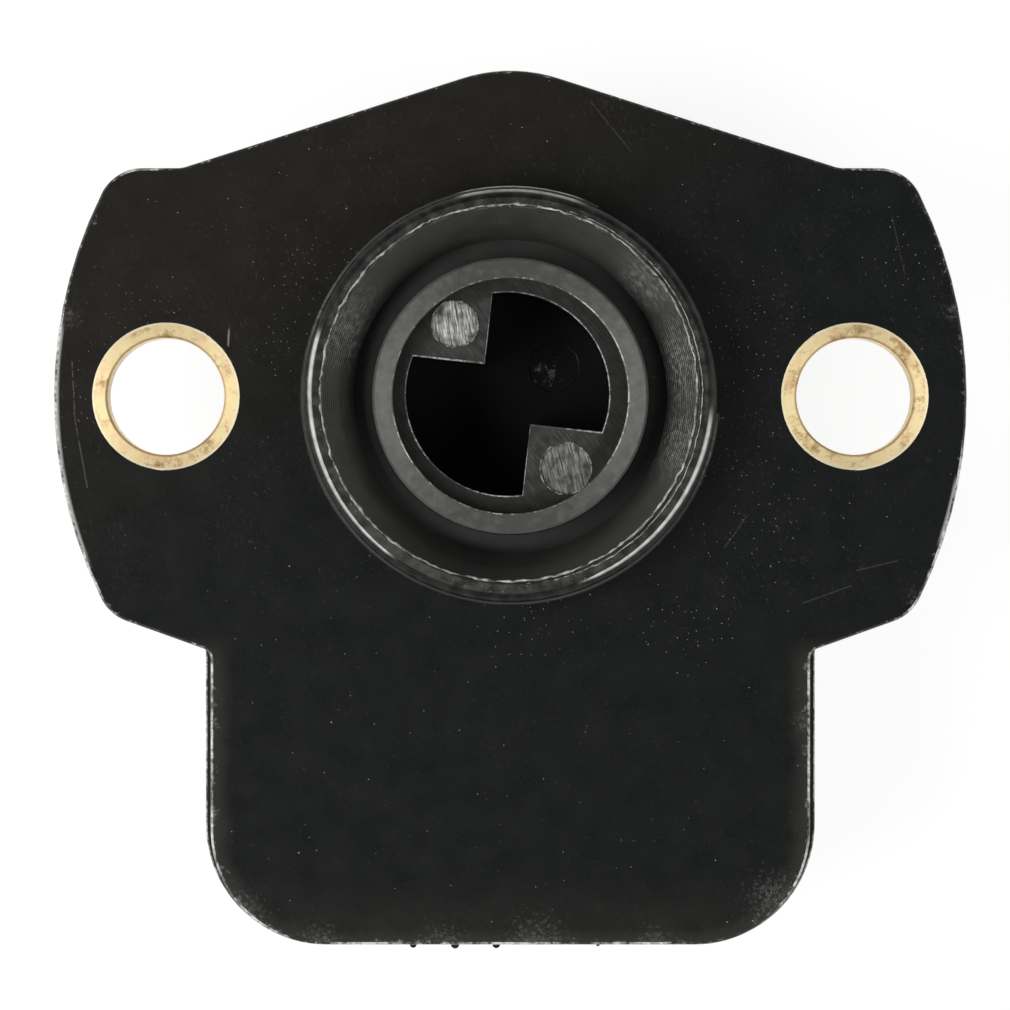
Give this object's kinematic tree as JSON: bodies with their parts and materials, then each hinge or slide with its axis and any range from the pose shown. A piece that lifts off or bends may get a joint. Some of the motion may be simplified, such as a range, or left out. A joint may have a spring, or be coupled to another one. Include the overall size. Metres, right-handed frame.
{
  "type": "throttle position sensor",
  "caption": "Five-sided plate with two bushed ears, a coned locating collar round a sprung rotor with a drive socket, and a shrouded connector behind.",
  "frame": {"origin": "on the rotor axis, in the mounting face, at the foot of the locating collar", "axes": "+Z out of the mounting face along the rotor axis, +Y away from the connector, +X towards the right ear as seen from the mounting side"},
  "size_m": [0.0476, 0.046, 0.0206],
  "materials": {
    "moulded_black": "moulded, semi-gloss, glass-filled",
    "rotor_grey": "moulded, matte, graphite grey",
    "bushing_brass": "turned",
    "seal_rubber": "moulded",
    "washer_white": "punched",
    "spring_steel": "wound",
    "pin_steel": "ground",
    "carrier_tan": "moulded",
    "contact_alloy": "stamped",
    "board_ceramic": "fired",
    "track_carbon": "printed",
    "print_silver": "printed",
    "terminal_tin": "stamped, tinned",
    "sealant_grey": "cast"
  },
  "bodies": {
    "housing": {"rear_housing": "moulded_black", "front_housing": "moulded_black", "housing_seal": "seal_rubber", "left_bushing": "bushing_brass", "right_bushing": "bushing_brass", "rotor_seal": "seal_rubber", "thrust_washer": "washer_white", "return_spring": "spring_steel", "pilot_pin": "pin_steel", "element_board": "board_ceramic", "resistive_track": "track_carbon", "collector_track": "print_silver", "conductor_pads": "print_silver", "supply_terminal": "terminal_tin", "signal_terminal": "terminal_tin", "ground_terminal": "terminal_tin", "terminal_seal": "sealant_grey"},
    "rotor": {"rotor": "rotor_grey", "wiper_carrier": "carrier_tan", "wiper_contact": "contact_alloy"}
  },
  "joints": [
    {"name": "rotor_turn", "type": "hinge", "parent": "housing", "child": "rotor", "pos_m": [0, 0, 0], "axis": [0, 0, 1], "range_deg": [0, 95], "stiffness_Nm_per_rad": 0.008, "springref_deg": -28.65, "deforming": ["return_spring"]}
  ]
}
